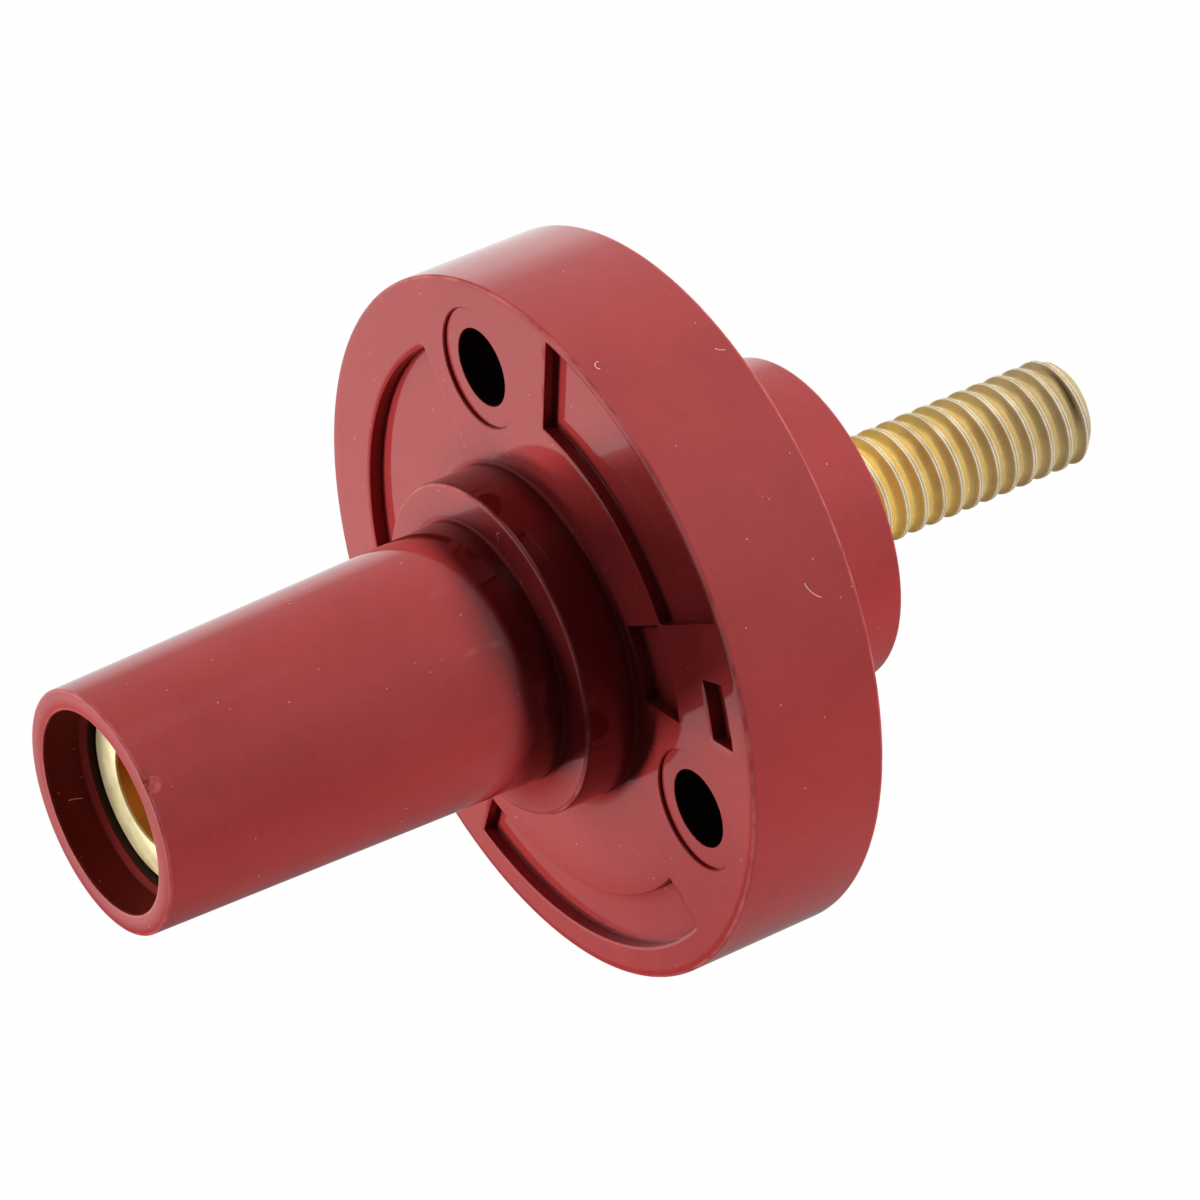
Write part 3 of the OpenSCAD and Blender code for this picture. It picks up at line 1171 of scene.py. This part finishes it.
@dataclass
class Contact:
    """Turned contact: socket with guide land and relief, body with the ring's groove, and threaded stud."""

    face_chamfer: float = 0.8
    # Socket with its guide land, the relief round the cross pin and the drill's point
    socket_r: float = 3.97
    socket_depth: float = 25.0
    socket_ease: float = 0.04
    guide_len: float = 6.0
    relief_len: float = 5.0
    relief_r: float = 4.47
    drill_angle: float = 118.0
    # Groove that holds the retaining ring, and the shoulder that a cable lug lies on
    ring_y: float = 6.6
    ring_groove_r: float = 6.575
    ring_groove_w: float = 1.3
    shoulder_y: float = 12.4
    shoulder_ease: float = 0.2
    body_step: float = 2.5
    # Stud with its thread
    stud_r: float = 3.97
    stud_chamfer: float = 0.7
    pitch: float = 1.57
    thread_depth: float = 0.4
    # Half a turn of a rolled thread as shares of pitch and depth: round root, flank and edge of the crest
    thread_half: tuple[Point, ...] = (
        (0.0, 0.0), (0.08, 0.08), (0.16, 0.25), (0.24, 0.48), (0.31, 0.7), (0.36, 0.86), (0.4, 0.97),
        (0.43, 1.0), (0.46, 0.96),
    )
    # The seam that rolling leaves in the middle of the crest
    thread_seam: Point = (0.5, 0.9)
    thread_steps: int = 96
    # Turns that the thread is drawn longer than the stud, half of them at each end
    spare_turns: int = 4
    # Hole for the cross pin
    cam_pin_r: float = 1.2
    pin_drill_step: float = 5.0

    def __post_init__(self) -> None:
        """Takes the length, the body's radius and the cross pin's place from the frame."""
        low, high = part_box("contact")
        self.body_r: float = high.x / MM
        self.face_y: float = low.y / MM
        self.tip_y: float = high.y / MM
        pin_low, pin_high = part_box("cam_pin")
        self.pin_middle: Vector = (pin_low + pin_high) / 2

    def outline(self) -> list[Point]:
        """Outline of the body from the socket's drill point to the middle of the shoulder face.

        Returns:
            Points of radius and place along the axis.
        """
        bottom_y = self.face_y + self.socket_depth
        point_h = self.socket_r / math.tan(math.radians(self.drill_angle / 2))
        relief_y = self.face_y + self.guide_len
        half_w = self.ring_groove_w / 2
        return [
            (0, bottom_y + point_h),
            (self.socket_r, bottom_y),
            (self.socket_r, relief_y + self.relief_len),
            (self.relief_r, relief_y + self.relief_len),
            (self.relief_r, relief_y),
            (self.socket_r, relief_y),
            (self.socket_r, self.face_y + self.socket_ease),
            (self.socket_r + self.socket_ease, self.face_y),
            (self.body_r - self.face_chamfer, self.face_y),
            (self.body_r, self.face_y + self.face_chamfer),
            (self.body_r, self.ring_y - half_w),
            (self.ring_groove_r, self.ring_y - half_w),
            (self.ring_groove_r, self.ring_y + half_w),
            (self.body_r, self.ring_y + half_w),
            (self.body_r, self.shoulder_y - self.shoulder_ease),
            (self.body_r - self.shoulder_ease, self.shoulder_y),
            (0, self.shoulder_y),
        ]

    def tooth(self, start_y: float) -> list[Point]:
        """Outline of one turn of the thread, root to root.

        Args:
            start_y: Place of its first point along the axis.

        Returns:
            Points of radius and place along the axis.
        """
        depth, root_r = self.thread_depth, self.stud_r - self.thread_depth
        other_half = [(1 - along, deep) for along, deep in reversed(self.thread_half)]
        form = (*self.thread_half, self.thread_seam, *other_half)
        return [(root_r + deep * depth, start_y + along * self.pitch) for along, deep in form]

    def threaded_rod(self) -> Piece:
        """Models the stud with its thread, from inside the shoulder to the chamfered tip.

        Returns:
            The closed rod.
        """
        sunk, past = 0.5, 0.4
        turns = math.ceil((self.tip_y - self.shoulder_y) / self.pitch) + self.spare_turns
        rod = draw_outline("threaded_rod", self.tooth(self.shoulder_y - self.spare_turns / 2 * self.pitch))
        bpy.ops.object.mode_set(mode="OBJECT")
        apply_modifier(rod, "SCREW", {
            "axis": "Y", "screw_offset": self.pitch * MM, "iterations": turns, "steps": self.thread_steps,
            "render_steps": self.thread_steps, "use_merge_vertices": True, "merge_threshold": MERGE,
        })
        bpy.ops.object.mode_set(mode="EDIT")
        # With a wider threshold the cuts would take points of the thread along
        for level, towards in ((self.shoulder_y - sunk, -1), (self.tip_y + past, 1)):
            bpy.ops.mesh.select_all(action="SELECT")
            bpy.ops.mesh.bisect(
                plane_co=(0, level * MM, 0), plane_no=(0, towards, 0), use_fill=True, clear_outer=True,
                threshold=MERGE / 10,
            )
        close_up()
        bound_r = self.stud_r + past
        envelope = turned("stud_envelope", [
            (0, self.shoulder_y - 2 * sunk),
            (bound_r, self.shoulder_y - 2 * sunk),
            (bound_r, self.tip_y - self.stud_chamfer - past),
            (self.stud_r - self.stud_chamfer, self.tip_y),
            (0, self.tip_y),
        ], step=360 / self.thread_steps)
        cut(rod, envelope, Cut.TO_COMMON)
        return rod

    def pin_drill(self) -> Piece:
        """Models the drill for the cross pin's hole.

        Returns:
            The drill, lying along X on the pin's line.
        """
        radius, reach = self.cam_pin_r, self.body_r + 1
        outline = [(0, -reach), (radius, -reach), (radius, reach), (0, reach)]
        drill = turned("pin_drill", outline, step=self.pin_drill_step)
        place_mesh(drill, Vector((0, self.pin_middle.y, self.pin_middle.z)), math.pi / 2, Axis.Z)
        return drill

    def build(self, finish: TurnedBrass) -> Piece:
        """Models the contact and dresses it.

        Args:
            finish: Its material.

        Returns:
            The finished piece.
        """
        contact = turned("turned_contact", self.outline(), step=self.body_step)
        cut(contact, self.pin_drill(), Cut.AWAY)
        cut(contact, self.threaded_rod(), Cut.TOGETHER)
        shade(contact)
        dress(contact, finish.make())
        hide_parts("contact")
        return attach(contact, BODY)


@dataclass(frozen=True)
class Lamp:
    """Soft box or snoot: where it stands, how brightly it lights white paper, its distance and width in m."""

    name: str
    towards: Direction
    level: float
    distance: float = 0.5
    width: float = 0.045
    # Angle in degrees that a snoot lets through, 0 for a soft box
    cone: float = 0.0
    # Place in millimetres that it is turned to
    aim: Spot = (0.0, 0.0, 0.0)

    def hang(self) -> Piece:
        """Hangs the lamp so that it faces the object.

        Returns:
            The lamp.
        """
        if self.cone:
            light = bpy.data.lights.new(self.name, "SPOT")
            light.spot_size = math.radians(self.cone)
            light.spot_blend = 0.05
            light.shadow_soft_size = self.width / 2
            light.energy = self.level * (2 * math.pi * self.distance) ** 2
        else:
            light = bpy.data.lights.new(self.name, "AREA")
            light.shape = "DISK"
            light.size = self.width
            light.energy = self.level * (math.pi * self.distance) ** 2
        lamp = bpy.data.objects.new(self.name, light)
        bpy.context.scene.collection.objects.link(lamp)
        direction = Vector(self.towards).normalized()
        lamp.location = Vector(self.aim) * MM + direction * self.distance
        lamp.rotation_euler = direction.to_track_quat("Z", "Y").to_euler()
        lamp.visible_camera = False
        lamp.visible_glossy = False
        return lamp


@dataclass(frozen=True)
class Card:
    """White card that gloss shows: where it stands, cosines where it starts and is full, its brightness."""

    towards: Direction
    first: float
    full: float
    level: float

    def shine(self, tree: Tree, towards: Source) -> Source:
        """Adds nodes that tell how bright the card is in a direction.

        Args:
            tree: Tree that the nodes go into.
            towards: The direction.

        Returns:
            The brightness.
        """
        facing = add_node(tree, "VectorMath", {"operation": "DOT_PRODUCT", 1: self.towards}, {0: towards})
        return add_node(
            tree, "MapRange", {"From Min": self.first, "From Max": self.full, "To Max": self.level},
            {"Value": facing},
        )


@dataclass
class Studio:
    """White surroundings, soft boxes, floor and the camera at the photograph's angle."""

    # Light that reaches the object from all round
    fill: float = 0.04
    # What its gloss shows of the surroundings: low, high, and the share of that which is left in front
    gloss_below: float = 0.25
    gloss_above: float = 0.8
    gloss_front: float = 0.08
    gloss_heights: Span = (-0.6, 0.5)
    gloss_depths: Span = (0.15, 0.5)
    # Cards that only gloss shows, and the heights between which they come up over the table's edge
    cards: tuple[Card, ...] = (
        Card((-0.620, -0.780, -0.080), 0.50, 0.85, 0.82),
        Card((-0.870, 0.490, 0.060), 0.88, 0.97, 0.60),
        Card((0.250, -0.050, 0.967), 0.90, 0.97, 0.80),
    )
    card_edge: Span = (-0.41, -0.33)
    # The floor, in metres, and how white the camera sees its grey paper
    floor_gap: float = 0.5
    floor_width: float = 12.0
    floor_colour: str = "#7c7c7c"
    floor_white: float = 0.98
    floor_glow: float = 1.016
    # The camera that the photograph's circles were fitted with, its lens and sensor in millimetres
    camera_place: Spot = (407.992, -227.371, 169.031)
    camera_right: Direction = (0.53105, 0.82350, -0.19959)
    camera_up: Direction = (-0.19156, 0.34613, 0.91842)
    camera_back: Direction = (0.82541, -0.44950, 0.34156)
    camera_lens: float = 217.72
    camera_sensor: float = 36.0
    camera_clip: float = 0.01
    lamps: list[Lamp] = field(default_factory=lambda: [
        Lamp("front_left_soft_box", (-0.609, -0.750, -0.258), 0.92, 1.0, 0.16),
        Lamp("front_low_soft_box", (-0.468, -0.880, -0.082), 0.32, 1.0, 0.16),
        Lamp("front_high_soft_box", (-0.305, -0.880, 0.364), 0.18, width=0.14),
        Lamp("top_soft_box", (0.081, 0.375, 0.923), 0.52),
        Lamp("top_back_soft_box", (-0.240, 0.375, 0.895), 0.44),
        Lamp("right_back_soft_box", (0.840, 0.375, 0.392), 0.40),
        Lamp("right_low_soft_box", (0.759, 0.375, -0.532), 0.46),
        Lamp("bottom_soft_box", (0.240, 0.375, -0.895), 0.38, 0.4, 0.056),
        Lamp("rear_soft_box", (0.05, 0.998, 0.0), 0.2, width=0.3),
        Lamp("socket_snoot", (0.060, -0.955, 0.290), 0.62, width=0.002, cone=1.5, aim=(0.0, -42.0, 0.0)),
    ])

    def gloss(self, tree: Tree) -> Source:
        """Adds nodes for what gloss shows: surroundings that are brighter behind and above, and the cards.

        Args:
            tree: Tree that the nodes go into.

        Returns:
            The brightness.
        """
        towards = add_node(tree, "TexCoord").outputs["Generated"]
        parts = add_node(tree, "SeparateXYZ", links={"Vector": towards})
        low, high = self.gloss_heights
        sky = add_node(
            tree, "MapRange",
            {"From Min": low, "From Max": high, "To Min": self.gloss_below, "To Max": self.gloss_above},
            {"Value": parts.outputs["Z"]},
        )
        front, back = self.gloss_depths
        behind = add_node(
            tree, "MapRange", {"From Min": front, "From Max": back, "To Min": self.gloss_front},
            {"Value": parts.outputs["Y"]},
        )
        back_sky = add_node(tree, "Math", {"operation": "MULTIPLY"}, {0: sky, 1: behind})
        below, above = self.card_edge
        risen = add_node(
            tree, "MapRange", {"From Min": below, "From Max": above}, {"Value": parts.outputs["Z"]},
        )
        cards = joined(tree, Join.SUM, [card.shine(tree, towards) for card in self.cards])
        return add_node(tree, "Math", {"operation": "MULTIPLY_ADD"}, {0: cards, 1: risen, 2: back_sky})

    def build_world(self) -> None:
        """Makes surroundings that are white to the eye and give a low fill and what gloss shows."""
        world = bpy.data.worlds.new("white_tent")
        bpy.context.scene.world = world
        world.use_nodes = True
        world.cycles.sampling_method = "NONE"
        tree = world.node_tree
        tree.nodes.clear()
        soft = add_node(
            tree, "Mix", {"data_type": "FLOAT", VALUE_A: self.fill},
            {"Factor": seen_by(tree, Ray.GLOSSY, Ray.TRANSMISSION), VALUE_B: self.gloss(tree)},
        )
        strength = add_node(
            tree, "Mix", {"data_type": "FLOAT", VALUE_B: 1.0},
            {"Factor": seen_by(tree, Ray.CAMERA), VALUE_A: soft},
        )
        glow = add_node(tree, "Background", {"Color": WHITE}, {"Strength": strength})
        add_node(tree, "OutputWorld", links={"Surface": glow})

    def build_floor(self) -> Piece:
        """Lays a floor under the object: grey paper that gives little light back, white to the camera.

        Returns:
            The floor.
        """
        bpy.ops.object.select_all(action="DESELECT")
        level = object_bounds()[0].z - self.floor_gap
        bpy.ops.mesh.primitive_plane_add(size=self.floor_width, location=(0, 0, level))
        floor = bpy.context.active_object
        floor.name = "floor"
        tree, material = new_material("pale_paper")
        paper = add_node(tree, "BsdfDiffuse", {"Color": linear(self.floor_colour)})
        white = add_node(tree, "Emission", {"Color": WHITE, "Strength": self.floor_glow})
        share = add_node(
            tree, "Math", {"operation": "MULTIPLY", 1: self.floor_white}, {0: seen_by(tree, Ray.CAMERA)},
        )
        mix = add_node(tree, "MixShader", links={0: share, 1: paper, 2: white})
        add_node(tree, "OutputMaterial", links={"Surface": mix})
        dress(floor, material)
        floor.visible_glossy = False
        floor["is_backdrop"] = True
        return floor

    def build_camera(self) -> Piece:
        """Sets up the camera where the photograph was taken.

        Returns:
            The camera.
        """
        data = bpy.data.cameras.new("camera")
        data.lens = self.camera_lens
        data.sensor_width = self.camera_sensor
        data.clip_start = self.camera_clip
        camera = bpy.data.objects.new("camera", data)
        bpy.context.scene.collection.objects.link(camera)
        turn = Matrix((self.camera_right, self.camera_up, self.camera_back)).transposed()
        place = Vector(in_metres(self.camera_place))
        camera.matrix_world = Matrix.LocRotScale(place, turn.to_quaternion(), None)
        bpy.context.scene.camera = camera
        return camera

    def build(self) -> None:
        """Builds the surroundings, the floor, the lamps and the camera."""
        self.build_world()
        self.build_floor()
        for lamp in self.lamps:
            lamp.hang()
        self.build_camera()
        bpy.context.scene.view_settings.view_transform = "Standard"


def dress_hidden_steel() -> None:
    """Dresses the cross pin and the retaining ring, which keep the frame's own meshes."""
    finishes = {
        "cam_pin": DrawnSteel("bright_drawn_steel", "#a9adb1", "#8f9498", 0.28),
        "retaining_ring": DrawnSteel("oil_black_spring_steel", "#5c6064", "#484c50", 0.36),
    }
    for node, finish in finishes.items():
        dress(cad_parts[node], finish.make())
        log.info("dressed %s", node)


def main() -> None:
    """Builds the pieces and the studio in order."""
    logging.basicConfig(level=logging.INFO, format="%(name)s: %(message)s")
    for piece in (Housing().build(MouldedThermoplastic()), Contact().build(TurnedBrass())):
        log.info("built %s with %d faces", piece.name, len(piece.data.polygons))
    dress_hidden_steel()
    Studio().build()


if __name__ == "__main__":
    main()
